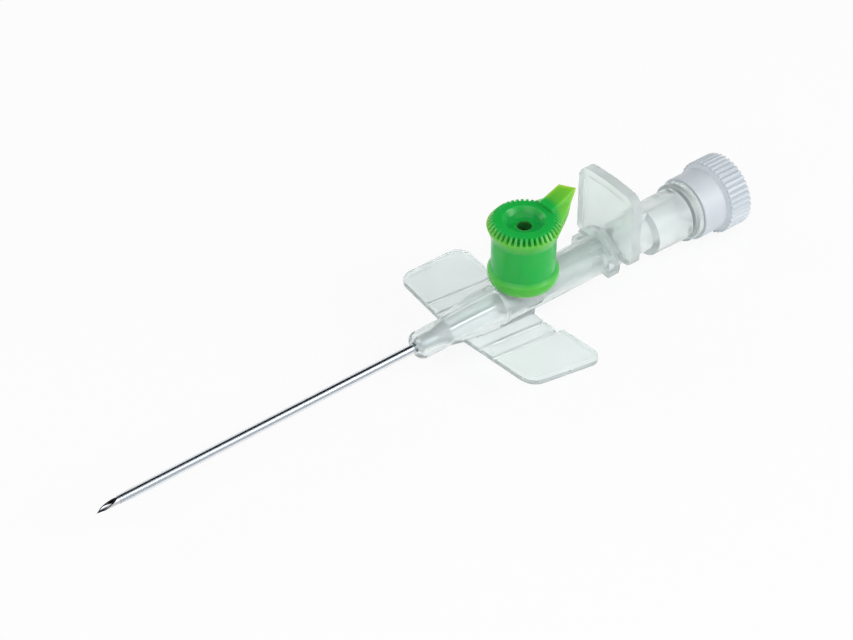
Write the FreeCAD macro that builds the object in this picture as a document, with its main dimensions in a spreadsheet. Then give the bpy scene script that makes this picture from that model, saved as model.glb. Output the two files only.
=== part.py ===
import FreeCAD, Part
import math
import os

import Sketcher

# Ported peripheral iv cannula, 18 gauge. Millimetres.
# Origin: centre of the catheter hub's nose face, where the exposed catheter starts.
# +X runs back along the needle towards the Luer cap, +Z is up through the injection port.

doc = FreeCAD.newDocument("iv_cannula")
dim = doc.addObject("Spreadsheet::Sheet", "dim")

SIZES = [
    # catheter tube and ferrule
    ("catheter_length", 45.0, "exposed length in front of the hub"),
    ("catheter_od", 1.3, "outer diameter"),
    ("catheter_id", 0.98, "bore"),
    ("tip_taper", 2.6, "length of the tapered tip"),
    ("tip_od", 1.06, "outer diameter at the tip"),
    ("seat_gap", 0.02, "clearance between pieces pressed or bonded together"),
    ("ferrule_start", 0.9, "front of the steel ferrule behind the nose face"),
    ("ferrule_straight", 2.2, "length of its straight part"),
    ("ferrule_flare", 1.9, "length of its funnel"),
    ("ferrule_od", 1.66, "outer diameter of the straight part"),
    ("ferrule_mouth", 2.7, "outer diameter of the funnel"),
    ("ferrule_wall", 0.13, "sheet thickness"),
    ("tail_wall", 0.15, "catheter wall where the ferrule spreads it"),
    # catheter hub
    ("nose_length", 4.8, "straight nose"),
    ("nose_od", 3.75, "nose diameter"),
    ("nose_round", 0.9, "rounded edge of the nose"),
    ("cone_length", 4.5, "cone behind the nose"),
    ("body_blend", 0.6, "share of the cone that curves into the body"),
    ("body_od", 5.7, "body diameter under the wings' front"),
    ("body_end", 13.5, "where the body steps down to the tube"),
    ("hub_od", 5.36, "rear tube diameter"),
    ("hub_length", 31.4, "nose face to rear face"),
    ("front_bore", 3.0, "bore between ferrule and valve"),
    ("valve_bore", 4.0, "bore that holds the valve sleeve"),
    ("valve_lead", 4.2, "front of the valve sleeve before the port axis"),
    ("valve_length", 7.8, "valve sleeve length"),
    ("valve_id", 2.5, "valve sleeve bore"),
    ("luer_mouth", 4.3, "female Luer mouth diameter"),
    ("luer_slope", 0.03, "radius gained per length on a 6 percent taper"),
    ("lug_od", 7.76, "across the Luer lock lugs"),
    ("lug_length", 1.8, "length of the lugs"),
    ("lug_end", 0.2, "rear face of the lugs before the rear end"),
    ("lug_low", 1.25, "lower end of the right lug below the axis"),
    ("lug_high", 1.9, "upper end of the right lug, where the collar starts"),
    ("collar_length", 1.1, "length of the collar that joins the lugs over the top"),
    # injection port
    ("port_x", 17.8, "port axis behind the nose face"),
    ("stem_od", 6.4, "port stem diameter"),
    ("stem_top", 9.2, "top of the port stem above the hub axis"),
    ("bead_od", 6.8, "bead near the top of the stem"),
    ("bead_height", 8.3, "height of the bead"),
    ("bead_width", 0.8, "width of the bead"),
    ("port_floor", 2.9, "floor of the port bore"),
    ("port_hole", 2.2, "hole from the port bore to the valve sleeve"),
    # wings and saddle
    ("wing_pitch", 5.7, "slope of the wings, lower at the rear"),
    ("wing_height", 2.4, "wing middle plane below the axis at the port"),
    ("wing_thickness", 0.65, "panel thickness"),
    ("wing_rim", 0.9, "width of the raised rim"),
    ("wing_recess", 0.12, "depth of the panel face below the rim"),
    ("wing_span", 14.6, "half span at the rear corner"),
    ("wing_front_span", 13.6, "half span at the front corner"),
    ("wing_front", 9.85, "front outer corner in front of the port axis"),
    ("wing_root_front", 11.1, "front of the root"),
    ("wing_rear", 1.7, "rear outer corner behind the port axis"),
    ("wing_step_span", 6.8, "place of the step in the rear edge"),
    ("wing_step", 0.9, "how far the outer panel stands back at the step"),
    ("wing_front_corner", 2.2, "radius of the front outer corner"),
    ("wing_corner", 1.7, "radius of the rear outer corner"),
    ("groove_width", 0.45, "flex groove width"),
    ("groove_depth", 0.28, "flex groove depth"),
    ("groove_inner", 4.4, "inner flex groove from the axis"),
    ("saddle_width", 4.9, "block under the hub"),
    ("saddle_front", 10.5, "front of the block before the port axis"),
    ("saddle_round", 1.4, "rounded front corners of the block"),
    # port cap
    ("cap_bottom", 2.65, "underside of the skirt above the axis"),
    ("cap_top", 12.0, "top of the head above the axis"),
    ("cap_wall", 0.7, "wall of the barrel"),
    ("barrel_od", 8.44, "barrel diameter"),
    ("skirt_od", 9.3, "flared skirt diameter"),
    ("skirt_height", 2.0, "height of the flared skirt"),
    ("head_od", 9.7, "head diameter at the foot of the teeth"),
    ("head_height", 2.4, "height of the head"),
    ("tooth_count", 40, "teeth round the head"),
    ("tooth_height", 0.83, "height of the toothed crown"),
    ("tooth_depth", 1.0, "how far a tooth stands out at its foot"),
    ("tooth_slope", 0.68, "how far its crest leans in on the way up"),
    ("tooth_width", 0.34, "width of a tooth"),
    ("dish_od", 5.6, "dish in the head"),
    ("dish_depth", 1.1, "depth of the dish"),
    ("plug_hole", 1.88, "hole in the hollow plug"),
    ("plug_bottom", 3.7, "closed end of the plug above the axis"),
    ("plug_gap", 0.05, "radial clearance of the plug in the port"),
    ("tube_gap", 0.15, "clearance of the skirt over the tube"),
    ("tab_width", 2.4, "width of the thumb tab's top face"),
    ("tab_root", 3.6, "front of the tab's raised root"),
    ("tab_reach", 7.6, "tip of the tab from the port axis"),
    ("tab_skew", 0.9, "how much sooner its far corner ends"),
    ("tab_rise", 2.05, "tip of the tab above the head"),
    ("tab_step", 0.45, "height of the tab's root above the head"),
    ("tab_flare", 3.3, "half width of the tab's foot on the rim"),
    # needle
    ("needle_od", 0.9, "needle diameter"),
    ("needle_id", 0.62, "needle bore"),
    ("needle_stand", 3.2, "how far the tip stands out of the catheter"),
    ("bevel_angle", 17.0, "main bevel"),
    ("lancet_angle", 27.0, "side grinds at the point"),
    ("lancet_turn", 36.0, "side grinds turned about the axis"),
    # needle hub
    ("plate_gap", 0.3, "clearance between hub and thumb plate"),
    ("plate_thickness", 1.45, "thumb plate thickness"),
    ("plate_width", 10.8, "thumb plate width"),
    ("plate_top", 11.45, "top of the thumb plate"),
    ("plate_arch", 0.3, "rise of the arched top"),
    ("plate_bottom", 0.35, "underside of the thumb plate above the axis"),
    ("plate_round", 2.0, "top corner radius"),
    ("plate_low_round", 1.1, "lower corner radius"),
    ("plate_rim", 1.05, "width of the rim round the plate's hollow face"),
    ("plate_hollow", 0.25, "depth of the hollow face"),
    ("plug_nose_gap", 0.06, "radial clearance of the nose in the hub"),
    ("plug_nose_stand", 0.2, "clearance between nose and valve sleeve"),
    ("plug_nose_lead", 0.4, "chamfered lead of the nose"),
    ("nose_core_od", 2.3, "core of the ribbed nose"),
    ("nose_rib_count", 6, "ribs round the nose"),
    ("nose_rib_width", 0.7, "width of a rib"),
    ("neck_od", 5.3, "neck behind the plate"),
    ("neck_set", 0.35, "front of the neck behind the plate's front face"),
    ("neck_length", 5.0, "neck length"),
    ("chamber_od", 7.2, "flash chamber diameter"),
    ("chamber_length", 6.5, "flash chamber length"),
    ("web_width", 1.6, "web over the neck, from the plate to the chamber"),
    ("stop_od", 8.2, "stop flange diameter"),
    ("stop_length", 1.3, "stop flange length"),
    ("socket_od", 5.9, "Luer socket diameter"),
    ("socket_length", 5.4, "Luer socket behind the stop flange"),
    ("socket_lug_length", 1.5, "length of the socket's lugs"),
    ("socket_lug_width", 5.2, "width of the socket's lugs"),
    ("bond_length", 3.6, "needle held in the neck"),
    # luer cap
    ("skirt_gap", 0.1, "clearance round the lugs and in front of the skirt"),
    ("screw_skirt_od", 8.84, "smooth skirt diameter"),
    ("screw_skirt_length", 4.1, "smooth skirt length"),
    ("knurl_od", 10.3, "knurled ring diameter"),
    ("knurl_length", 3.5, "knurled ring length"),
    ("knurl_count", 40, "grooves round the knurled ring"),
    ("knurl_depth", 0.32, "groove depth"),
    ("knurl_shoulder", 0.35, "length of the shoulder in front of the ribs"),
    ("knurl_stop", 0.15, "end of the ribs before the rear face"),
    ("end_wall", 0.9, "end wall thickness"),
    ("cone_gap", 0.05, "radial clearance of the cone in the socket"),
    ("cone_reach", 7.4, "cone length from the end wall"),
    ("vent_bore", 2.4, "rear bore that holds the filter"),
    ("vent_hole", 1.2, "air way through the cone"),
    ("filter_length", 2.6, "vent filter length"),
    ("filter_inset", 0.5, "filter set in from the rear face"),
]

for row, (alias, value, note) in enumerate(SIZES, start=1):
    dim.set(f"A{row}", note)
    dim.set(f"B{row}", str(value))
    dim.setAlias(f"B{row}", alias)
doc.recompute()


def number(expression):
    """Present value of an expression of the sheet's names."""
    value = dim.evalExpression(expression)
    return float(getattr(value, "Value", value))


def origin_plane(body, role):
    """One of the body's own origin planes."""
    return next(item for item in body.Origin.OriginFeatures if item.Role == role)


def outline(body, name, role, points, lift=None):
    """Closed polygon sketch on an origin plane, each corner placed by two expressions."""
    sketch = body.newObject("Sketcher::SketchObject", name)
    sketch.AttachmentSupport = (origin_plane(body, role), "")
    sketch.MapMode = "FlatFace"
    if lift:
        sketch.setExpression("AttachmentOffset.Base.z", lift)
    corners = [FreeCAD.Vector(number(across), number(up), 0) for across, up in points]
    count = len(corners)
    for index in range(count):
        start, end = corners[index], corners[(index + 1) % count]
        sketch.addGeometry(Part.LineSegment(start, end), False)
    for index in range(count):
        following = (index + 1) % count
        sketch.addConstraint(Sketcher.Constraint("Coincident", index, 2, following, 1))
    for index, (pair, corner) in enumerate(zip(points, corners)):
        places = (("DistanceX", pair[0], corner.x, -2), ("DistanceY", pair[1], corner.y, -1))
        for kind, expression, value, axis in places:
            if expression == "0":
                sketch.addConstraint(Sketcher.Constraint("PointOnObject", index, 1, axis))
                continue
            ends = (-1, 1, index, 1) if value > 0 else (index, 1, -1, 1)
            made = sketch.addConstraint(Sketcher.Constraint(kind, *ends, abs(value)))
            signed = expression if value > 0 else f"-({expression})"
            sketch.setExpression(f"Constraints[{made}]", signed)
    return sketch


def new_body(name):
    """Empty body of a sub-part or of one of its forming solids."""
    return doc.addObject("PartDesign::Body", name)


def turned(name, points, upright=False):
    """Body turned from an outline of (length, radius) pairs, about X or, upright, about Z."""
    body = new_body(name)
    placed = [(radius, along) for along, radius in points] if upright else points
    sketch = outline(body, name + "_profile", "XZ_Plane", placed)
    turn = body.newObject("PartDesign::Revolution", name + "_turn")
    turn.Profile = sketch
    turn.ReferenceAxis = (sketch, ["V_Axis" if upright else "H_Axis"])
    turn.Angle = 360
    body.Tip = turn
    return body


def prism(name, role, points, depth, lift=None, midplane=False):
    """Body padded from an outline on an origin plane."""
    body = new_body(name)
    sketch = outline(body, name + "_profile", role, points, lift)
    pad = body.newObject("PartDesign::Pad", name + "_pad")
    pad.Profile = sketch
    pad.setExpression("Length", depth)
    pad.Midplane = midplane
    body.Tip = pad
    return body


def place(item, **expressions):
    """Bind the position of an object to expressions, axis by axis."""
    for axis, expression in expressions.items():
        item.setExpression(f"Placement.Base.{axis}", expression)


def rounded(body, name, picks, radius, feature="PartDesign::Fillet", key="Radius"):
    """Fillet or chamfer on the edges of the body's last feature that picks() accepts."""
    doc.recompute()
    base = body.Tip
    names = [f"Edge{n}" for n, edge in enumerate(base.Shape.Edges, start=1) if picks(edge)]
    if not names:
        raise RuntimeError(f"{name}: no edge to round")
    dress = body.newObject(feature, name)
    dress.Base = (base, names)
    dress.setExpression(key, radius)
    body.Tip = dress
    return dress


def polar(body, name, feature, axis_role, count):
    """Repeat a feature round one of the body's origin axes."""
    pattern = body.newObject("PartDesign::PolarPattern", name)
    pattern.Originals = [feature]
    axis = next(item for item in body.Origin.OriginFeatures if item.Role == axis_role)
    pattern.Axis = (axis, [""])
    pattern.Angle = 360
    pattern.setExpression("Occurrences", count)
    body.Tip = pattern
    return pattern


def fused(name, *parts):
    """Union of several objects."""
    union = doc.addObject("Part::MultiFuse", name)
    union.Shapes = list(parts)
    return union


def cut(name, base, tool):
    """Base without tool."""
    result = doc.addObject("Part::Cut", name)
    result.Base = base
    result.Tool = tool
    return result


def bar(name, length, width, height, **position):
    """Box with expression sizes and position."""
    box = doc.addObject("Part::Box", name)
    box.setExpression("Length", length)
    box.setExpression("Width", width)
    box.setExpression("Height", height)
    place(box, **position)
    return box


def rod(name, diameter, length, **position):
    """Cylinder along X."""
    cylinder = doc.addObject("Part::Cylinder", name)
    cylinder.setExpression("Radius", f"({diameter}) / 2")
    cylinder.setExpression("Height", length)
    cylinder.Placement.Rotation = FreeCAD.Rotation(FreeCAD.Vector(0, 1, 0), 90)
    place(cylinder, **position)
    return cylinder


FERRULE_END = "dim.ferrule_start + dim.ferrule_straight + dim.ferrule_flare"
TAIL_START = "dim.catheter_length + dim.ferrule_start"
TAIL_STRAIGHT = f"{TAIL_START} + dim.ferrule_straight"
TAIL_END = f"{TAIL_STRAIGHT} + dim.ferrule_flare * 0.8"
FUNNEL_SLOPE = "(dim.ferrule_mouth - dim.ferrule_od) / 2 / dim.ferrule_flare"
SPREAD = f"({FUNNEL_SLOPE}) * dim.ferrule_flare * 0.8"
VALVE_START = "dim.port_x - dim.valve_lead"
VALVE_END = f"{VALVE_START} + dim.valve_length + dim.seat_gap"
NOSE_START = f"{VALVE_END} + dim.plug_nose_stand"


def make_catheter_tube():
    """Flexible tube: tapered tip, plain length, tail spread over the ferrule."""
    inner_tail = "dim.ferrule_od / 2 + dim.seat_gap"
    outer_tail = f"{inner_tail} + dim.tail_wall"
    points = [
        ("0", "dim.catheter_id / 2"),
        ("0", "dim.tip_od / 2"),
        ("dim.tip_taper", "dim.catheter_od / 2"),
        ("dim.catheter_length", "dim.catheter_od / 2"),
        (TAIL_START, outer_tail),
        (TAIL_STRAIGHT, outer_tail),
        (TAIL_END, f"{outer_tail} + {SPREAD}"),
        (TAIL_END, f"{inner_tail} + {SPREAD}"),
        (TAIL_STRAIGHT, inner_tail),
        (f"{TAIL_START} - dim.seat_gap", inner_tail),
        (f"{TAIL_START} - dim.seat_gap", "dim.catheter_id / 2"),
    ]
    tube = turned("catheter_tube", points)
    place(tube, x="-dim.catheter_length")
    return tube


def make_ferrule():
    """Thin steel eyelet: a straight tube with a funnel behind it that guides the needle."""
    straight, whole = "dim.ferrule_straight", "dim.ferrule_straight + dim.ferrule_flare"
    points = [
        ("0", "dim.ferrule_od / 2 - dim.ferrule_wall"),
        ("0", "dim.ferrule_od / 2"),
        (straight, "dim.ferrule_od / 2"),
        (whole, "dim.ferrule_mouth / 2"),
        (whole, "dim.ferrule_mouth / 2 - dim.ferrule_wall"),
        (straight, "dim.ferrule_od / 2 - dim.ferrule_wall"),
    ]
    ferrule = turned("catheter_ferrule", points)
    place(ferrule, x="dim.ferrule_start")
    return ferrule


def make_hub_bore():
    """Everything hollow along the axis of the catheter hub, front to back."""
    seat = "dim.ferrule_od / 2 + dim.tail_wall + dim.seat_gap * 2"
    straight = "dim.ferrule_start + dim.ferrule_straight"
    narrow = f"dim.luer_mouth / 2 - dim.luer_slope * (dim.hub_length - ({VALVE_END}))"
    overshoot = "0.5"
    points = [
        (f"-{overshoot}", "0"),
        (f"-{overshoot}", "dim.catheter_od / 2 + dim.seat_gap"),
        ("-dim.seat_gap", "dim.catheter_od / 2 + dim.seat_gap"),
        ("dim.ferrule_start - dim.seat_gap", seat),
        (straight, seat),
        (FERRULE_END, f"{seat} + ({FUNNEL_SLOPE}) * dim.ferrule_flare"),
        (f"{FERRULE_END} + dim.seat_gap * 3", f"{seat} + ({FUNNEL_SLOPE}) * dim.ferrule_flare"),
        (f"{FERRULE_END} + dim.seat_gap * 3", "dim.front_bore / 2"),
        (f"{VALVE_START} - dim.seat_gap", "dim.front_bore / 2"),
        (f"{VALVE_START} - dim.seat_gap", "dim.valve_bore / 2"),
        (VALVE_END, "dim.valve_bore / 2"),
        (VALVE_END, narrow),
        (f"dim.hub_length + {overshoot}", f"dim.luer_mouth / 2 + dim.luer_slope * {overshoot}"),
        (f"dim.hub_length + {overshoot}", "0"),
    ]
    return turned("hub_bore", points)


def make_hub_tube():
    """Outside of the hub's nose, cone, body and rear tube."""
    cone_end = "dim.nose_length + dim.cone_length"
    points = [
        ("0", "0"),
        ("0", "dim.nose_od / 2"),
        ("dim.nose_length", "dim.nose_od / 2"),
        (cone_end, "dim.body_od / 2"),
        ("dim.body_end", "dim.body_od / 2"),
        ("dim.body_end", "dim.hub_od / 2"),
        ("dim.hub_length", "dim.hub_od / 2"),
        ("dim.hub_length", "0"),
    ]
    tube = turned("hub_tube", points)

    def ring_at(along, radius):
        """Test for the round edge at a distance and a radius, both as expressions."""
        x, r = number(along), number(radius)

        def picks(edge):
            box = edge.BoundBox
            return box.XLength < 0.001 and abs(box.Center.x - x) < 0.001 and abs(box.ZMax - r) < 0.001
        return picks

    rounded(tube, "hub_nose_round", ring_at("0", "dim.nose_od / 2"), "dim.nose_round")
    bend = "atan((dim.body_od - dim.nose_od) / 2 / dim.cone_length)"
    rounded(tube, "hub_body_blend", ring_at(cone_end, "dim.body_od / 2"),
            f"dim.cone_length * dim.body_blend / cos({bend}) / tan({bend} / 2)")
    return tube


def make_lugs():
    """Two Luer lock lugs, half a turn apart, and the collar that joins them over the top."""
    end = "dim.hub_length - dim.lug_end"
    disc = rod("lug_disc", "dim.lug_od", "dim.lug_length", x=f"{end} - dim.lug_length")
    height = "dim.lug_low + dim.lug_high"
    right = bar("lug_right", "dim.lug_length", "dim.lug_od / 2", height,
                x=f"{end} - dim.lug_length", y="-dim.lug_od / 2", z="-dim.lug_low")
    left = bar("lug_left", "dim.lug_length", "dim.lug_od / 2", height,
               x=f"{end} - dim.lug_length", z="-dim.lug_high")
    over = bar("lug_collar", "dim.collar_length", "dim.lug_od", "dim.lug_od / 2 - dim.lug_high",
               x=f"{end} - dim.collar_length", y="-dim.lug_od / 2", z="dim.lug_high")
    band = fused("lug_blocks", right, left, over)
    lugs = doc.addObject("Part::MultiCommon", "hub_lugs")
    lugs.Shapes = [disc, band]
    return lugs


def make_stem():
    """Outside of the injection port with its bead, standing on the hub's axis."""
    half, bead_half = "dim.bead_height", "dim.bead_width / 2"
    points = [
        ("0", "0"),
        ("0", "dim.stem_od / 2"),
        (f"{half} - {bead_half}", "dim.stem_od / 2"),
        (half, "dim.bead_od / 2"),
        (f"{half} + {bead_half}", "dim.stem_od / 2"),
        ("dim.stem_top", "dim.stem_od / 2 - 0.15"),
        ("dim.stem_top", "0"),
    ]
    stem = turned("port_stem", points, upright=True)
    place(stem, x="dim.port_x")
    return stem


def make_stem_bore():
    """Female Luer bore of the port and the hole down to the valve sleeve."""
    depth = "dim.stem_top - dim.port_floor"
    points = [
        ("0", "0"),
        ("0", "dim.port_hole / 2"),
        ("dim.port_floor", "dim.port_hole / 2"),
        ("dim.port_floor", f"dim.luer_mouth / 2 - dim.luer_slope * ({depth})"),
        ("dim.stem_top + 0.5", "dim.luer_mouth / 2 + dim.luer_slope * 0.5"),
        ("dim.stem_top + 0.5", "0"),
    ]
    bore = turned("port_bore", points, upright=True)
    place(bore, x="dim.port_x")
    return bore


def wing_points(inset):
    """Outline of the left wing panel, inset all round for the recessed face."""
    return [
        (f"-dim.wing_root_front + {inset} * 1.2", "dim.saddle_width / 4" if inset == "0"
         else f"dim.groove_inner + {inset} * 0.6"),
        (f"-dim.wing_front + {inset}", f"dim.wing_front_span - {inset}"),
        (f"dim.wing_rear - {inset}", f"dim.wing_span - {inset}"),
        (f"dim.wing_rear - dim.wing_step * 0.8 - {inset}", f"dim.wing_step_span + 0.3 + {inset} * 0.2"),
        (f"dim.wing_rear - dim.wing_step * 1.8 - {inset}", f"dim.wing_step_span - {inset} * 0.2"),
        (f"-{inset} - 0.02", "dim.saddle_width / 4" if inset == "0"
         else f"dim.groove_inner + {inset} * 0.6"),
    ]


def tilt(item):
    """Set an object on the wings' sloping middle plane, with its origin below the port."""
    item.Placement.Rotation = FreeCAD.Rotation(FreeCAD.Vector(0, 1, 0), number("dim.wing_pitch"))
    place(item, x="dim.port_x", z="-dim.wing_height")


def make_wing(side, name):
    """One wing: flat panel with rounded outer corners, thin rim and two flex grooves."""
    def sided(points):
        return [(x, y if side > 0 else f"-({y})") for x, y in points]

    panel = prism(name, "XY_Plane", sided(wing_points("0")), "dim.wing_thickness", midplane=True)
    outer = number("(dim.wing_step_span + dim.wing_front_span) / 2")
    middle = number("(dim.wing_rear - dim.wing_front) / 2")

    def outer_corner(front):
        def picks(edge):
            box = edge.BoundBox
            upright = box.XLength < 0.001 and box.YLength < 0.001
            return upright and abs(box.Center.y) > outer and (box.Center.x < middle) == front
        return picks

    rounded(panel, name + "_front_corner", outer_corner(True), "dim.wing_front_corner")
    rounded(panel, name + "_rear_corner", outer_corner(False), "dim.wing_corner")
    doc.recompute()
    sketch = outline(panel, name + "_face", "XY_Plane", sided(wing_points("dim.wing_rim")),
                     "dim.wing_thickness / 2 - dim.wing_recess")
    pocket = panel.newObject("PartDesign::Pocket", name + "_recess")
    pocket.Profile = sketch
    pocket.Reversed = True
    pocket.setExpression("Length", "dim.wing_thickness")
    panel.Tip = pocket
    tilt(panel)
    return panel


def make_grooves():
    """Flex grooves across the wings, cut from above."""
    tools = []
    for side in (1, -1):
        for index, place_y in enumerate(("dim.groove_inner", "dim.wing_step_span")):
            name = f"groove_{'left' if side > 0 else 'right'}_{index}"
            low = f"{side} * ({place_y}) - dim.groove_width / 2"
            box = doc.addObject("Part::Box", name)
            box.setExpression("Length", "dim.wing_root_front + dim.wing_rear + 4")
            box.setExpression("Width", "dim.groove_width")
            box.setExpression("Height", "dim.wing_thickness")
            angle = math.radians(number("dim.wing_pitch"))
            box.Placement.Rotation = FreeCAD.Rotation(FreeCAD.Vector(0, 1, 0), math.degrees(angle))
            back = "(dim.wing_root_front + 2)"
            up = "(dim.wing_thickness / 2 - dim.groove_depth)"
            slope = "dim.wing_pitch * 1 deg"
            place(box, x=f"dim.port_x - {back} * cos({slope}) + {up} * sin({slope})",
                  y=low,
                  z=f"-dim.wing_height + {back} * sin({slope}) + {up} * cos({slope})")
            tools.append(box)
    return tools


def make_saddle():
    """Block between hub and wings, with rounded front corners and a flat underside."""
    half = "dim.saddle_width / 2"
    points = [
        ("-dim.saddle_front", f"-{half}"),
        ("0", f"-{half}"),
        ("0", half),
        ("-dim.saddle_front", half),
    ]
    block = prism("hub_saddle", "XY_Plane", points, "dim.wing_height",
                  lift="-dim.wing_thickness / 2")

    def front_corner(edge):
        box = edge.BoundBox
        upright = box.XLength < 0.001 and box.YLength < 0.001
        return upright and box.Center.x < -number("dim.saddle_front") / 2

    rounded(block, "saddle_corners", front_corner, "dim.saddle_round")
    tilt(block)
    return block


def make_catheter_hub():
    """One moulding: hub tube, port stem, saddle, wings and Luer lock end."""
    solid = fused("hub_solid", make_hub_tube(), make_lugs(), make_stem(), make_saddle(),
                  make_wing(1, "wing_left"), make_wing(-1, "wing_right"))
    hollows = fused("hub_hollows", make_hub_bore(), make_stem_bore(), *make_grooves())
    return cut("catheter_hub", solid, hollows)


def make_valve():
    """Silicone sleeve that lies under the port and closes its hole from inside."""
    points = [
        ("0", "dim.valve_id / 2"),
        ("0", "dim.valve_bore / 2 - dim.seat_gap"),
        ("dim.valve_length", "dim.valve_bore / 2 - dim.seat_gap"),
        ("dim.valve_length", "dim.valve_id / 2"),
    ]
    sleeve = turned("valve_sleeve", points)
    place(sleeve, x=VALVE_START)
    return sleeve


def make_port_cap():
    """Coloured cap: toothed head with a dish, barrel, flared skirt, hollow plug and thumb tab."""
    inner = "dim.barrel_od / 2 - dim.cap_wall"
    head = "dim.cap_top - dim.head_height"
    roof = "dim.stem_top + dim.tube_gap"
    plug_top = "dim.luer_mouth / 2 - dim.plug_gap"
    depth = "dim.stem_top - dim.plug_bottom"
    plug_end = f"{plug_top} - dim.luer_slope * ({depth})"
    crown_foot = "dim.cap_top - dim.tooth_height"
    crown = "dim.head_od / 2 - dim.tooth_depth"
    dish = "(dim.dish_od - dim.plug_hole) / 2"
    points = [
        ("dim.cap_bottom", inner),
        ("dim.cap_bottom", "dim.skirt_od / 2 - 0.25"),
        ("dim.cap_bottom + dim.skirt_height * 0.35", "dim.skirt_od / 2"),
        ("dim.cap_bottom + dim.skirt_height * 0.75", "dim.skirt_od / 2"),
        ("dim.cap_bottom + dim.skirt_height", "dim.barrel_od / 2 + 0.08"),
        ("dim.cap_bottom + dim.skirt_height + 0.05", "dim.barrel_od / 2"),
        (head, "dim.barrel_od / 2"),
        (head, "dim.barrel_od / 2 + 0.12"),
        (crown_foot, "dim.head_od / 2"),
        (crown_foot, crown),
        ("dim.cap_top", crown),
        ("dim.cap_top", "dim.dish_od / 2"),
        ("dim.cap_top - dim.dish_depth * 0.65", f"dim.plug_hole / 2 + ({dish}) * 0.7"),
        ("dim.cap_top - dim.dish_depth * 0.92", f"dim.plug_hole / 2 + ({dish}) * 0.35"),
        ("dim.cap_top - dim.dish_depth", "dim.plug_hole / 2"),
        ("dim.plug_bottom + dim.cap_wall", "dim.plug_hole / 2"),
        ("dim.plug_bottom + dim.cap_wall", "0"),
        ("dim.plug_bottom", "0"),
        ("dim.plug_bottom", f"{plug_end} - 0.3"),
        ("dim.plug_bottom + 0.3", plug_end),
        (roof, plug_top),
        (roof, inner),
    ]
    cap = turned("cap_body", points, upright=True)
    tooth = outline(cap, "tooth_side", "XZ_Plane", [
        (f"{crown} - 0.4", crown_foot),
        ("dim.head_od / 2", crown_foot),
        ("dim.head_od / 2 - dim.tooth_slope", "dim.cap_top"),
        (f"{crown} - 0.4", "dim.cap_top"),
    ])
    pad = cap.newObject("PartDesign::Pad", "tooth")
    pad.Profile = tooth
    pad.setExpression("Length", "dim.tooth_width")
    pad.Midplane = True
    cap.Tip = pad
    doc.recompute()
    polar(cap, "tooth_ring", pad, "Z_Axis", "dim.tooth_count")
    place(cap, x="dim.port_x")
    relief = rod("cap_relief", "dim.hub_od + dim.tube_gap * 2", "dim.skirt_od + 2",
                 x="dim.port_x - dim.skirt_od / 2 - 1")
    return cut("port_cap", fused("cap_solid", cap, make_tab()), relief)


def make_tab():
    """Thumb tab: a tongue that rises from the head, over a foot that widens into the rim."""
    top, foot = "dim.cap_top", "dim.cap_top - dim.tooth_height"
    half = "dim.tab_width / 2"
    side = prism("tab_side", "XZ_Plane", [
        ("dim.tab_root - 0.4", f"{foot} - 0.9"),
        ("dim.tab_root - 0.4", f"{top} - 0.2"),
        ("dim.tab_root", f"{top} - 0.2"),
        ("dim.tab_root", f"{top} + dim.tab_step"),
        ("dim.tab_reach", f"{top} + dim.tab_rise"),
        ("dim.tab_reach - 0.1", f"{top} + dim.tab_rise - 0.45"),
        ("dim.tab_reach - 0.9", f"{foot} + 0.35"),
        ("dim.tab_reach - 1.5", f"{foot} - 0.5"),
        ("dim.head_od / 2 - 0.1", f"{foot} - 0.9"),
    ], "dim.head_od", midplane=True)
    plan = prism("tab_plan", "XY_Plane", [
        ("dim.tab_root - 0.8", "-dim.tab_flare"),
        ("dim.tab_root - 0.4", "-dim.tab_flare"),
        ("dim.tab_reach - 0.8", f"-{half} + 0.1"),
        ("dim.tab_reach", f"-{half} + 0.1"),
        ("dim.tab_reach - dim.tab_skew", half),
        ("dim.tab_reach - 1.2", half),
        ("dim.tab_root - 0.4", "dim.tab_flare"),
        ("dim.tab_root - 0.8", "dim.tab_flare"),
    ], "dim.tab_rise + dim.head_height", lift="dim.cap_top - dim.head_height")
    across = prism("tab_across", "YZ_Plane", [
        ("-dim.tab_flare", f"{foot} - 0.9"),
        ("-dim.tab_flare", f"{foot} - 0.1"),
        (f"-{half}", f"{top} + dim.tab_step - 0.2"),
        (f"-{half}", f"{top} + dim.tab_rise"),
        (half, f"{top} + dim.tab_rise"),
        (half, f"{top} + dim.tab_step - 0.2"),
        ("dim.tab_flare", f"{foot} - 0.1"),
        ("dim.tab_flare", f"{foot} - 0.9"),
    ], "dim.tab_reach + 1")
    tab = doc.addObject("Part::MultiCommon", "thumb_tab")
    tab.Shapes = [side, plan, across]
    place(tab, x="dim.port_x")
    return tab


NEEDLE_TIP = "-(dim.catheter_length + dim.needle_stand)"
PLATE_X = "dim.hub_length + dim.plate_gap"
NECK_X = f"{PLATE_X} + dim.plate_thickness"
CHAMBER_X = f"{NECK_X} + dim.neck_length"
STOP_X = f"{CHAMBER_X} + dim.chamber_length"
SOCKET_X = f"{STOP_X} + dim.stop_length"
SOCKET_END = f"{SOCKET_X} + dim.socket_length"


def bevel_tool(name, angle, turn):
    """Half-space box above a grinding plane through the needle's point."""
    box = doc.addObject("Part::Box", name)
    box.setExpression("Length", "dim.needle_od * 12")
    box.setExpression("Width", "dim.needle_od * 4")
    box.setExpression("Height", "dim.needle_od * 4")
    about_y = FreeCAD.Rotation(FreeCAD.Vector(0, 1, 0), -number(angle))
    about_x = FreeCAD.Rotation(FreeCAD.Vector(1, 0, 0), number(turn) if turn else 0)
    point = FreeCAD.Vector(0, 0, -number("dim.needle_od / 2"))
    middle = FreeCAD.Vector(0, -number("dim.needle_od * 2"), 0)
    spin = about_x.multiply(about_y)
    box.Placement = FreeCAD.Placement(point + spin.multVec(middle), spin)
    place(box, x=f"{NEEDLE_TIP} + {box.Placement.Base.x}")
    return box


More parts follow.
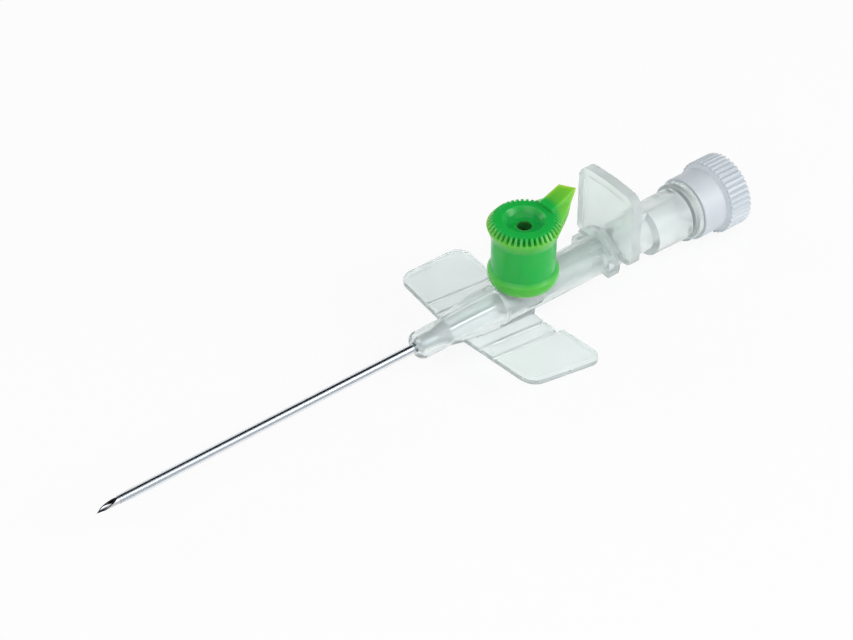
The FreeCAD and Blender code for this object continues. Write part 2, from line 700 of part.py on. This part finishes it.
def make_needle():
    """Steel tube with a main bevel that faces up and two side grinds at the point."""
    length = f"{NECK_X} + dim.bond_length - ({NEEDLE_TIP})"
    shaft = rod("needle_shaft", "dim.needle_od", length, x=NEEDLE_TIP)
    lumen = rod("needle_lumen", "dim.needle_id", f"{length} + 2", x=f"{NEEDLE_TIP} - 1")
    tube = cut("needle_tube", shaft, lumen)
    grinds = [
        bevel_tool("main_grind", "dim.bevel_angle", None),
        bevel_tool("side_grind_left", "dim.lancet_angle", "dim.lancet_turn"),
        bevel_tool("side_grind_right", "dim.lancet_angle", "-dim.lancet_turn"),
    ]
    return cut("needle", tube, fused("needle_grinds", *grinds))


def make_nose():
    """Ribbed nose of the needle hub that stands in the catheter hub's Luer bore."""
    length = f"dim.hub_length - ({NOSE_START})"
    root = f"{length} + dim.plate_gap + dim.neck_set + dim.seat_gap"
    mouth = "dim.luer_mouth / 2 - dim.plug_nose_gap"
    front = f"{mouth} - dim.luer_slope * ({length})"
    nose = turned("needle_hub_nose", [
        ("0", "0"),
        ("0", "dim.nose_core_od / 2"),
        (root, "dim.nose_core_od / 2"),
        (root, "0"),
    ])
    side = outline(nose, "nose_rib_side", "XZ_Plane", [
        ("0", "dim.needle_od / 2"),
        ("0", f"{front} - dim.plug_nose_lead * 0.6"),
        ("dim.plug_nose_lead", front),
        (length, mouth),
        (root, mouth),
        (root, "dim.needle_od / 2"),
    ])
    rib = nose.newObject("PartDesign::Pad", "nose_rib")
    rib.Profile = side
    rib.setExpression("Length", "dim.nose_rib_width")
    rib.Midplane = True
    nose.Tip = rib
    doc.recompute()
    polar(nose, "nose_ribs", rib, "X_Axis", "dim.nose_rib_count")
    place(nose, x=NOSE_START)
    return nose


def make_plate():
    """Thumb plate: gently arched top, round corners and a hollow front face in a raised rim."""
    def plate_outline(inset):
        half = f"(dim.plate_width / 2 - {inset})"
        low, high = f"dim.plate_bottom + {inset}", f"dim.plate_top - {inset}"
        return [
            (f"-{half}", low),
            (half, low),
            (half, f"{high} - dim.plate_arch"),
            ("0", high),
            (f"-{half}", f"{high} - dim.plate_arch"),
        ]

    plate = prism("thumb_plate", "YZ_Plane", plate_outline("0"), "dim.plate_thickness")

    def top_corner(edge):
        box = edge.BoundBox
        along = box.YLength < 0.001 and box.ZLength < 0.001
        return along and box.Center.z > number("dim.plate_top") / 2 and abs(box.Center.y) > 1

    def crown(edge):
        box = edge.BoundBox
        along = box.YLength < 0.001 and box.ZLength < 0.001
        return along and box.Center.z > number("dim.plate_top") / 2 and abs(box.Center.y) < 1

    def low_corner(edge):
        box = edge.BoundBox
        along = box.YLength < 0.001 and box.ZLength < 0.001
        return along and box.Center.z < number("dim.plate_top") / 2

    rounded(plate, "plate_corners", top_corner, "dim.plate_round")
    rounded(plate, "plate_crown", crown, "dim.plate_width")
    rounded(plate, "plate_low_corners", low_corner, "dim.plate_low_round")
    place(plate, x=PLATE_X)
    hollow = prism("plate_hollow", "YZ_Plane", plate_outline("dim.plate_rim"),
                   "dim.plate_hollow * 2", lift="-dim.plate_hollow")
    rounded(hollow, "hollow_corners", top_corner, "dim.plate_round - dim.plate_rim * 0.7")
    place(hollow, x=PLATE_X)
    return cut("thumb_plate_hollowed", plate, hollow)


def make_needle_hub():
    """One clear moulding: ribbed nose, thumb plate, neck, flash chamber, stop flange, Luer socket."""
    whole = "dim.neck_length + dim.chamber_length + dim.stop_length + dim.socket_length"
    chamber_end = "dim.neck_length + dim.chamber_length"
    stop_end = f"{chamber_end} + dim.stop_length"
    barrel = turned("needle_hub_barrel", [
        ("dim.neck_set - dim.plate_thickness", "0"),
        ("dim.neck_set - dim.plate_thickness", "dim.neck_od / 2"),
        ("dim.neck_length", "dim.neck_od / 2"),
        ("dim.neck_length + 0.35", "dim.chamber_od / 2 - 0.05"),
        (f"{chamber_end} - 0.25", "dim.chamber_od / 2 + 0.05"),
        (f"{chamber_end} - 0.25", "dim.chamber_od / 2 - 0.3"),
        (chamber_end, "dim.chamber_od / 2 - 0.3"),
        (chamber_end, "dim.stop_od / 2"),
        (stop_end, "dim.stop_od / 2"),
        (stop_end, "dim.socket_od / 2"),
        (whole, "dim.socket_od / 2"),
        (whole, "0"),
    ])
    place(barrel, x=NECK_X)
    lug_start = f"{SOCKET_END} - dim.socket_lug_length"
    disc = rod("socket_lug_disc", "dim.lug_od", "dim.socket_lug_length", x=lug_start)
    band = bar("socket_lug_band", "dim.socket_lug_length", "dim.socket_lug_width", "dim.lug_od",
               x=lug_start, y="-dim.socket_lug_width / 2", z="-dim.lug_od / 2")
    lugs = doc.addObject("Part::MultiCommon", "socket_lugs")
    lugs.Shapes = [disc, band]
    web = bar("neck_web", "dim.neck_length + dim.neck_set", "dim.web_width",
              "dim.chamber_od / 2 - 0.05", x=NECK_X, y="-dim.web_width / 2")
    body = fused("needle_hub_solid", make_nose(), make_plate(), barrel, web, lugs)
    bond = "dim.bond_length + dim.seat_gap"
    taper_length = f"{whole} - dim.neck_length"
    flash_end = "dim.luer_mouth / 2"
    chamber = turned("flash_chamber_bore", [
        (f"{bond} - 0.1", "0"),
        (f"{bond} - 0.1", "dim.needle_od / 2 + 0.25"),
        ("dim.neck_length + 0.6", f"{flash_end} - dim.luer_slope * ({taper_length})"),
        (f"{whole} + 0.5", f"{flash_end} + dim.luer_slope * 0.5"),
        (f"{whole} + 0.5", "0"),
    ])
    place(chamber, x=NECK_X)
    channel = rod("needle_channel", "dim.needle_od + dim.seat_gap * 2",
                  f"{NECK_X} + dim.bond_length - ({NOSE_START}) + dim.needle_od",
                  x=f"{NOSE_START} - dim.needle_od")
    return cut("needle_hub", body, fused("needle_hub_hollows", chamber, channel))


CAP_X = f"{SOCKET_X} + dim.skirt_gap"
CAP_LENGTH = "dim.screw_skirt_length + dim.knurl_length"


def make_luer_cap():
    """Screw cap: smooth skirt, knurled ring, end wall and hollow male cone."""
    inner = "dim.lug_od / 2 + dim.skirt_gap"
    wall = f"{CAP_LENGTH} - dim.end_wall"
    cone_front = f"{wall} - dim.cone_reach + 0.6"
    mouth_at = f"({SOCKET_END}) - ({CAP_X})"
    mouth_r = "dim.luer_mouth / 2 - dim.cone_gap"
    front_r = f"{mouth_r} - dim.luer_slope * (({mouth_at}) - ({cone_front}))"
    root_r = f"{mouth_r} + dim.luer_slope * (({wall}) - ({mouth_at}))"
    filter_front = f"{CAP_LENGTH} - dim.filter_inset - dim.filter_length - dim.seat_gap"
    rim, root = "dim.knurl_od / 2", "dim.knurl_od / 2 - dim.knurl_depth"
    rib_end = f"{CAP_LENGTH} - dim.knurl_stop"
    points = [
        ("0", inner),
        ("0", "dim.screw_skirt_od / 2"),
        ("dim.screw_skirt_length - dim.knurl_shoulder", "dim.screw_skirt_od / 2"),
        ("dim.screw_skirt_length", f"{root}"),
        ("dim.screw_skirt_length", rim),
        (rib_end, rim),
        (rib_end, root),
        (CAP_LENGTH, f"{root} - dim.knurl_stop"),
        (CAP_LENGTH, "dim.vent_bore / 2"),
        (filter_front, "dim.vent_bore / 2"),
        (filter_front, "dim.vent_hole / 2"),
        (cone_front, "dim.vent_hole / 2"),
        (cone_front, f"{front_r} - 0.2"),
        (f"{cone_front} + 0.3", front_r),
        (wall, root_r),
        (wall, inner),
    ]
    cap = turned("luer_cap", points)
    half = f"({rim}) * 3.1416 / dim.knurl_count * 0.8"
    groove = outline(cap, "knurl_groove", "YZ_Plane", [
        ("0", root),
        (f"-({half})", f"{rim} + dim.knurl_depth * 0.3"),
        (half, f"{rim} + dim.knurl_depth * 0.3"),
    ], "dim.screw_skirt_length")
    pocket = cap.newObject("PartDesign::Pocket", "knurl_cut")
    pocket.Profile = groove
    pocket.Reversed = True
    pocket.setExpression("Length", "dim.knurl_length - dim.knurl_stop")
    cap.Tip = pocket
    doc.recompute()
    polar(cap, "knurl_ring", pocket, "X_Axis", "dim.knurl_count")
    place(cap, x=CAP_X)
    return cap


def make_filter():
    """Porous plug in the cone that lets air out and keeps blood in."""
    start = f"{CAP_X} + {CAP_LENGTH} - dim.filter_inset - dim.filter_length"
    return rod("vent_filter", "dim.vent_bore - dim.seat_gap * 2", "dim.filter_length", x=start)


pieces = {
    "catheter_tube": make_catheter_tube(),
    "catheter_ferrule": make_ferrule(),
    "catheter_hub": make_catheter_hub(),
    "valve_sleeve": make_valve(),
    "port_cap": make_port_cap(),
    "needle": make_needle(),
    "needle_hub": make_needle_hub(),
    "luer_cap": make_luer_cap(),
    "vent_filter": make_filter(),
}
doc.recompute()

failed = [item.Name for item in doc.Objects if {"Invalid", "Error"} & set(item.State)]
if failed:
    raise RuntimeError(f"failed objects: {failed}")

os.makedirs("parts", exist_ok=True)
for node, piece in pieces.items():
    piece.Label = node
    shape = piece.Shape
    if shape.isNull() or not shape.isValid():
        raise RuntimeError(f"{node} has no valid shape")
    box = shape.BoundBox
    print(f"{node}: {len(shape.Solids)} solid, {shape.Volume:.2f} mm3, "
          f"x {box.XMin:.2f} {box.XMax:.2f}, y {box.YMin:.2f} {box.YMax:.2f}, "
          f"z {box.ZMin:.2f} {box.ZMax:.2f}")
for node, piece in pieces.items():
    piece.Shape.exportStep(f"parts/{node}.step")
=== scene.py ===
import math

import bpy
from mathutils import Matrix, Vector


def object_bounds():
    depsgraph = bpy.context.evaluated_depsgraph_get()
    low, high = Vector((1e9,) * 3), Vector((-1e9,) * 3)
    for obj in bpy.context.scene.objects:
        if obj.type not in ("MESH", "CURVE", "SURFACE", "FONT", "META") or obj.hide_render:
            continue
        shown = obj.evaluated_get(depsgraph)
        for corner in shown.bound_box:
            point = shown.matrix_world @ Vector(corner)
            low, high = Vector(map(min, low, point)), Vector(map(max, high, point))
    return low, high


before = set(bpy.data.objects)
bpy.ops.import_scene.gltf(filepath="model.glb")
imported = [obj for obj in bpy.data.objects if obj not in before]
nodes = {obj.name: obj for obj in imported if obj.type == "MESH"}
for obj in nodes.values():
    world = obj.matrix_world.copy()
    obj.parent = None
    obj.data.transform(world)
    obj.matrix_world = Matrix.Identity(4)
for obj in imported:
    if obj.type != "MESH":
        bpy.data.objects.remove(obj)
cad_box = [list(corner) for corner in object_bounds()]

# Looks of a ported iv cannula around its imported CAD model. Metres, in the frame of the CAD:
# +X runs back along the needle, +Z is up through the injection port.

MM = 0.001
WHITE = (1.0, 1.0, 1.0, 1.0)

# camera, from the rings and outlines of the photograph
AIM = Vector((6.60, 5.91, -2.79)) * MM
AZIMUTH = math.radians(38.41)
ELEVATION = math.radians(40.03)
DISTANCE = 380 * MM
LENS = 123.65
SENSOR = 36.0
CLIP_START = 10 * MM

# studio: strengths and colours
WORLD_LIGHT = 0.48
WORLD_SEEN = 1.0
FLOOR_SEEN = 0.87
FLOOR_COLOUR = (0.93, 0.93, 0.93, 1.0)
FLOOR_ROUGHNESS = 0.9
FLOOR_SIDE = 3.0
FLOOR_GAP = 0.02 * MM
CARD_PLACE = (0.48, 0.66, 0.68)
CARD_WIDTH = 1.6
CARD_HEIGHT = 1.45
CARD_COLOUR = (0.035, 0.04, 0.05, 1.0)

# name, place, power in watts, side in metres
LAMPS = [
    ("key", (0.30, -0.35, 0.30), 0.9, 0.30),
    ("low", (0.28, -0.52, 0.05), 1.5, 0.70),
    ("fill", (-0.35, -0.15, 0.38), 0.9, 0.45),
    ("back", (-0.20, 0.55, 0.25), 0.6, 0.40),
]

# plastics: the clear ones have a low index, for the soft, milky look of the photograph
MOULDING_INDEX = 1.25
FILM_INDEX = 1.3
SILICONE_INDEX = 1.41
GREEN_INDEX = 1.5
WHITE_INDEX = 1.49
GLOSSY_GRAIN = 0.0015 * MM
SATIN_GRAIN = 0.006 * MM
BEVEL_SAMPLES = 4

# nose of the needle hub: smooth in front of the first x, frosted behind the second
POLISHED_TO = 31 * MM
FROSTED_FROM = 34 * MM

# greens of the port cap by distance from the port's axis in millimetres: the dark mouth, painted
# shade in the hole; the dish's inner edge, a little darker with painted shade in the bowl; the
# barrel's outer edge in the cap's own green; skirt and teeth, and the tab, painted yellower as a
# glow of light through thin plastic
PORT_X = 17.8 * MM
GREENS_AND_PAINTED_LIGHT = [
    (0.95, (0.030, 0.080, 0.020)),
    (1.25, (0.009, 0.41, 0.066)),
    (4.35, (0.014, 0.46, 0.070)),
    (5.00, (0.110, 0.51, 0.055)),
    (6.00, (0.160, 0.53, 0.048)),
]
GREENS_AND_LIGHT_REACH = 10.0 * MM
GREENS_AND_LIGHT_BLUR = 0.3 * MM


# shader helpers

class Shader:
    """A material with a Principled shader, and short calls that add nodes to it. The values it
    starts with stay on sockets that nothing is linked to."""

    def __init__(self, name, colour, **inputs):
        self.material = bpy.data.materials.new(name)
        self.material.use_nodes = True
        self.tree = self.material.node_tree
        self.principled = self.tree.nodes["Principled BSDF"]
        self.set("Base Color", (*colour, 1.0))
        for key, value in inputs.items():
            self.set(key.replace("_", " "), value)
        coordinates = self.tree.nodes.new("ShaderNodeTexCoord")
        self.place = coordinates.outputs["Object"]

    def set(self, socket, value):
        """A plain value on one of the shader's own sockets."""
        self.principled.inputs[socket].default_value = value

    def link(self, output, socket):
        """An output into one of the shader's own sockets."""
        self.tree.links.new(output, self.principled.inputs[socket])

    def axes(self):
        """The three coordinates in the object's own space, in metres."""
        node = self.tree.nodes.new("ShaderNodeSeparateXYZ")
        self.tree.links.new(self.place, node.inputs[0])
        return node.outputs

    def math(self, operation, first, second=0.0):
        """A math node over two values or outputs."""
        node = self.tree.nodes.new("ShaderNodeMath")
        node.operation = operation
        for index, value in enumerate((first, second)):
            if isinstance(value, (int, float)):
                node.inputs[index].default_value = value
            else:
                self.tree.links.new(value, node.inputs[index])
        return node.outputs[0]

    def noise(self, cells, stretch=(1, 1, 1), detail=3.0, roughness=0.5):
        """Noise in the object's own space, with so many cells per metre."""
        mapping = self.tree.nodes.new("ShaderNodeMapping")
        mapping.inputs["Scale"].default_value = stretch
        self.tree.links.new(self.place, mapping.inputs["Vector"])
        node = self.tree.nodes.new("ShaderNodeTexNoise")
        node.inputs["Scale"].default_value = cells
        node.inputs["Detail"].default_value = detail
        node.inputs["Roughness"].default_value = roughness
        self.tree.links.new(mapping.outputs["Vector"], node.inputs["Vector"])
        return node.outputs["Fac"]

    def ramp(self, factor, stops):
        """Colour ramp from (position, colour) stops."""
        node = self.tree.nodes.new("ShaderNodeValToRGB")
        ramp = node.color_ramp
        while len(ramp.elements) < len(stops):
            ramp.elements.new(0.5)
        for element, (position, colour) in zip(ramp.elements, stops):
            element.position = position
            element.color = (*colour, 1.0)
        self.tree.links.new(factor, node.inputs["Fac"])
        return node.outputs["Color"]

    def spread(self, factor, low, high, start=0.3, end=0.7):
        """A value that goes from low to high as a factor goes from start to end."""
        node = self.tree.nodes.new("ShaderNodeMapRange")
        limits = {"From Min": start, "From Max": end, "To Min": low, "To Max": high}
        for key, value in limits.items():
            node.inputs[key].default_value = value
        self.tree.links.new(factor, node.inputs["Value"])
        return node.outputs["Result"]

    def bump(self, height, depth, soften=None):
        """Bump of a real depth in metres, over edges softened by a radius."""
        node = self.tree.nodes.new("ShaderNodeBump")
        node.inputs["Strength"].default_value = 1.0
        node.inputs["Distance"].default_value = depth
        self.tree.links.new(height, node.inputs["Height"])
        if soften:
            bevel = self.tree.nodes.new("ShaderNodeBevel")
            bevel.samples = BEVEL_SAMPLES
            bevel.inputs["Radius"].default_value = soften
            self.tree.links.new(bevel.outputs["Normal"], node.inputs["Normal"])
        self.link(node.outputs["Normal"], "Normal")


# materials

def shade(colour, share):
    """A colour with each part times a share, at most 1."""
    return tuple(min(1.0, part * share) for part in colour)


def clear_moulding(name, colour, clearness, roughness, polished=None):
    """Translucent moulded plastic, a little cloudy, with a faint orange peel. Polished is the
    roughness of a smoother nose, if it has one."""
    shader = Shader(name, colour, Transmission_Weight=clearness, IOR=MOULDING_INDEX,
                    Roughness=roughness)
    cloud = shader.noise(cells=160, detail=2.0)
    shader.link(shader.ramp(cloud, [(0.35, shade(colour, 0.97)), (0.65, shade(colour, 1.02))]),
                "Base Color")
    fine = shader.noise(cells=2600, detail=2.0)
    grain = shader.spread(fine, low=0.8, high=1.2)
    if polished is not None:
        x = shader.axes()[0]
        roughness = shader.spread(x, polished, roughness, start=POLISHED_TO, end=FROSTED_FROM)
    shader.link(shader.math("MULTIPLY", grain, roughness), "Roughness")
    shader.bump(fine, GLOSSY_GRAIN)
    return shader.material


def hub_plastic():
    """Milky, slightly green-blue translucent moulding of the catheter hub and wings."""
    return clear_moulding("hub_plastic", (0.915, 0.97, 0.965), clearness=0.74, roughness=0.09)


def needle_hub_plastic():
    """Softly frosted moulding of the needle hub, clear at its nose in the catheter hub."""
    return clear_moulding("needle_hub_plastic", (0.925, 0.975, 0.97), clearness=0.66,
                          roughness=0.185, polished=0.05)


def catheter_film():
    """Clear, slightly hazy fluoropolymer tube."""
    shader = Shader("catheter_film", (0.85, 0.88, 0.905), Transmission_Weight=1.0,
                    IOR=FILM_INDEX, Roughness=0.03)
    drawn = shader.noise(cells=900, stretch=(0.02, 1, 1), detail=2.0)
    shader.link(shader.spread(drawn, low=0.015, high=0.05), "Roughness")
    return shader.material


def valve_silicone():
    """Cloudy grey silicone."""
    shader = Shader("valve_silicone", (0.52, 0.58, 0.59), Transmission_Weight=0.35,
                    IOR=SILICONE_INDEX, Roughness=0.45)
    cloud = shader.noise(cells=700)
    shader.link(shader.ramp(cloud, [(0.3, (0.46, 0.52, 0.53)), (0.7, (0.56, 0.62, 0.63))]),
                "Base Color")
    shader.bump(cloud, depth=0.01 * MM)
    return shader.material


def steel(name, colour, roughness, stretch):
    """Drawn stainless steel with fine lines along the tube."""
    shader = Shader(name, colour, Metallic=1.0, Roughness=roughness)
    lines = shader.noise(cells=3000, stretch=stretch, detail=4.0)
    shader.link(shader.spread(lines, low=roughness * 0.7, high=roughness * 1.5), "Roughness")
    shader.link(shader.ramp(lines, [(0.3, shade(colour, 0.9)), (0.7, colour)]), "Base Color")
    shader.bump(lines, depth=0.0008 * MM)
    return shader.material


def cap_green():
    """Glossy green: painted shade makes the mouth dark and the dish deeper, the barrel keeps its
    own deep green, and a painted glow of light through thin plastic makes tab, teeth, head rim
    and skirt yellower."""
    shader = Shader("cap_green", (0.030, 0.44, 0.058), Roughness=0.22, IOR=GREEN_INDEX,
                    Specular_IOR_Level=0.28, Subsurface_Weight=0.8, Subsurface_Scale=3 * MM,
                    Subsurface_Radius=(1.0, 0.9, 0.3))
    x, y, z = shader.axes()
    x = shader.math("SUBTRACT", x, PORT_X)
    square = shader.math("ADD", shader.math("MULTIPLY", x, x), shader.math("MULTIPLY", y, y))
    cloud = shader.math("MULTIPLY", shader.noise(cells=420), GREENS_AND_LIGHT_BLUR)
    out = shader.math("ADD", shader.math("SQRT", square), cloud)
    reach = shader.spread(out, low=0.0, high=1.0, start=0.0, end=GREENS_AND_LIGHT_REACH)
    # painted shade in the mouth and dish and a painted glow on skirt, teeth and tab, over the
    # cap's own green
    stops = [(distance * MM / GREENS_AND_LIGHT_REACH, colour) for distance, colour in GREENS_AND_PAINTED_LIGHT]
    shader.link(shader.ramp(reach, stops), "Base Color")
    fine = shader.noise(cells=3200, detail=2.0)
    shader.link(shader.spread(fine, low=0.13, high=0.19), "Roughness")
    shader.bump(fine, GLOSSY_GRAIN, soften=0.12 * MM)
    return shader.material


def cap_white():
    """Cool white satin moulding."""
    shader = Shader("cap_white", (0.60, 0.645, 0.69), Roughness=0.38, IOR=WHITE_INDEX,
                    Subsurface_Weight=0.2, Subsurface_Scale=1 * MM,
                    Subsurface_Radius=(0.9, 1.0, 1.0))
    cloud = shader.noise(cells=240)
    shader.link(shader.ramp(cloud, [(0.3, (0.575, 0.63, 0.675)), (0.7, (0.62, 0.665, 0.705))]),
                "Base Color")
    fine = shader.noise(cells=3500, detail=2.0)
    shader.link(shader.spread(fine, low=0.32, high=0.46), "Roughness")
    shader.bump(fine, SATIN_GRAIN, soften=0.08 * MM)
    return shader.material


def filter_porous():
    """Sintered, porous white plug."""
    shader = Shader("filter_porous", (0.88, 0.88, 0.86), Roughness=0.85)
    grain = shader.noise(cells=5200, detail=5.0, roughness=0.7)
    shader.link(shader.ramp(grain, [(0.35, (0.66, 0.66, 0.63)), (0.6, (0.92, 0.92, 0.90))]),
                "Base Color")
    shader.bump(grain, depth=0.05 * MM)
    return shader.material


def dress(node, material):
    """Give a CAD node its material."""
    mesh = nodes[node].data
    mesh.materials.clear()
    mesh.materials.append(material)


# studio

def turn_to_aim(thing, place, face):
    """Put a lamp or card at a place with one of its faces towards the middle of the part."""
    thing.location = place
    thing.rotation_euler = (AIM - Vector(place)).to_track_quat(face, "Y").to_euler()


def make_camera():
    """Camera at the photograph's viewing angle."""
    flat = math.cos(ELEVATION)
    away = Vector((math.sin(AZIMUTH) * flat, math.cos(AZIMUTH) * flat, -math.sin(ELEVATION)))
    camera = bpy.data.objects.new("camera", bpy.data.cameras.new("camera"))
    bpy.context.collection.objects.link(camera)
    camera.location = AIM - away * DISTANCE
    camera.rotation_euler = away.to_track_quat("-Z", "Y").to_euler()
    camera.data.sensor_width = SENSOR
    camera.data.sensor_fit = "HORIZONTAL"
    camera.data.lens = LENS
    camera.data.clip_start = CLIP_START
    bpy.context.scene.camera = camera


def seen_white(tree, shader, share, output):
    """Camera, glossy and transmission rays meet a share of plain white, the others the shader."""
    path = tree.nodes.new("ShaderNodeLightPath")
    seen = path.outputs["Is Camera Ray"]
    for ray in ("Is Glossy Ray", "Is Transmission Ray"):
        either = tree.nodes.new("ShaderNodeMath")
        either.operation = "MAXIMUM"
        tree.links.new(seen, either.inputs[0])
        tree.links.new(path.outputs[ray], either.inputs[1])
        seen = either.outputs[0]
    part = tree.nodes.new("ShaderNodeMath")
    part.operation = "MULTIPLY"
    part.inputs[1].default_value = share
    tree.links.new(seen, part.inputs[0])
    white = tree.nodes.new("ShaderNodeBackground" if shader.type == "BACKGROUND"
                           else "ShaderNodeEmission")
    white.inputs["Color"].default_value = WHITE
    white.inputs["Strength"].default_value = 1.0
    mix = tree.nodes.new("ShaderNodeMixShader")
    tree.links.new(part.outputs[0], mix.inputs["Fac"])
    tree.links.new(shader.outputs[0], mix.inputs[1])
    tree.links.new(white.outputs[0], mix.inputs[2])
    tree.links.new(mix.outputs[0], tree.nodes[output].inputs["Surface"])


def make_world():
    """Soft light from all sides, white where it is seen."""
    world = bpy.data.worlds.new("studio")
    bpy.context.scene.world = world
    world.use_nodes = True
    tree = world.node_tree
    soft = tree.nodes["Background"]
    soft.inputs["Color"].default_value = WHITE
    soft.inputs["Strength"].default_value = WORLD_LIGHT
    seen_white(tree, soft, WORLD_SEEN, "World Output")


def make_floor():
    """Plain pale floor just under the part, which keeps its shadow."""
    low = cad_box[0][2]
    bpy.ops.mesh.primitive_plane_add(size=FLOOR_SIDE, location=(0, 0, low - FLOOR_GAP))
    floor = bpy.context.object
    floor.name = "floor"
    material = bpy.data.materials.new("floor_paper")
    material.use_nodes = True
    tree = material.node_tree
    paper = tree.nodes["Principled BSDF"]
    paper.inputs["Base Color"].default_value = FLOOR_COLOUR
    paper.inputs["Roughness"].default_value = FLOOR_ROUGHNESS
    seen_white(tree, paper, FLOOR_SEEN, "Material Output")
    floor.data.materials.append(material)


def make_lamp(name, place, power, side):
    """Square area lamp that faces the middle of the part."""
    lamp = bpy.data.objects.new(name, bpy.data.lights.new(name, "AREA"))
    lamp.data.energy = power
    lamp.data.size = side
    turn_to_aim(lamp, place, "-Z")
    bpy.context.collection.objects.link(lamp)


def make_card():
    """Dark card that only reflections and clear plastic show. The steel mirrors it as the dark
    line along its far side."""
    bpy.ops.mesh.primitive_plane_add(size=1.0, location=CARD_PLACE)
    card = bpy.context.object
    card.name = "dark_card"
    card.scale = (CARD_WIDTH, CARD_HEIGHT, 1.0)
    turn_to_aim(card, CARD_PLACE, "Z")
    material = bpy.data.materials.new("dark_card")
    material.use_nodes = True
    paper = material.node_tree.nodes["Principled BSDF"]
    paper.inputs["Base Color"].default_value = CARD_COLOUR
    paper.inputs["Roughness"].default_value = 1.0
    paper.inputs["Specular IOR Level"].default_value = 0.0
    card.data.materials.append(material)
    card.visible_camera = False
    card.visible_shadow = False
    card.visible_diffuse = False


def make_studio():
    """Camera, white surroundings, floor, a dark card and four soft lamps."""
    bpy.context.scene.view_settings.view_transform = "Standard"
    make_camera()
    make_world()
    make_floor()
    make_card()
    for name, place, power, side in LAMPS:
        make_lamp(name, place, power, side)


dress("catheter_hub", hub_plastic())
dress("needle_hub", needle_hub_plastic())
dress("catheter_tube", catheter_film())
dress("valve_sleeve", valve_silicone())
dress("needle", steel("needle_steel", (0.58, 0.59, 0.62), roughness=0.10, stretch=(0.01, 1, 1)))
dress("catheter_ferrule", steel("ferrule_steel", (0.42, 0.44, 0.47), roughness=0.28,
                                stretch=(0.05, 1, 1)))
dress("port_cap", cap_green())
dress("luer_cap", cap_white())
dress("vent_filter", filter_porous())
make_studio()
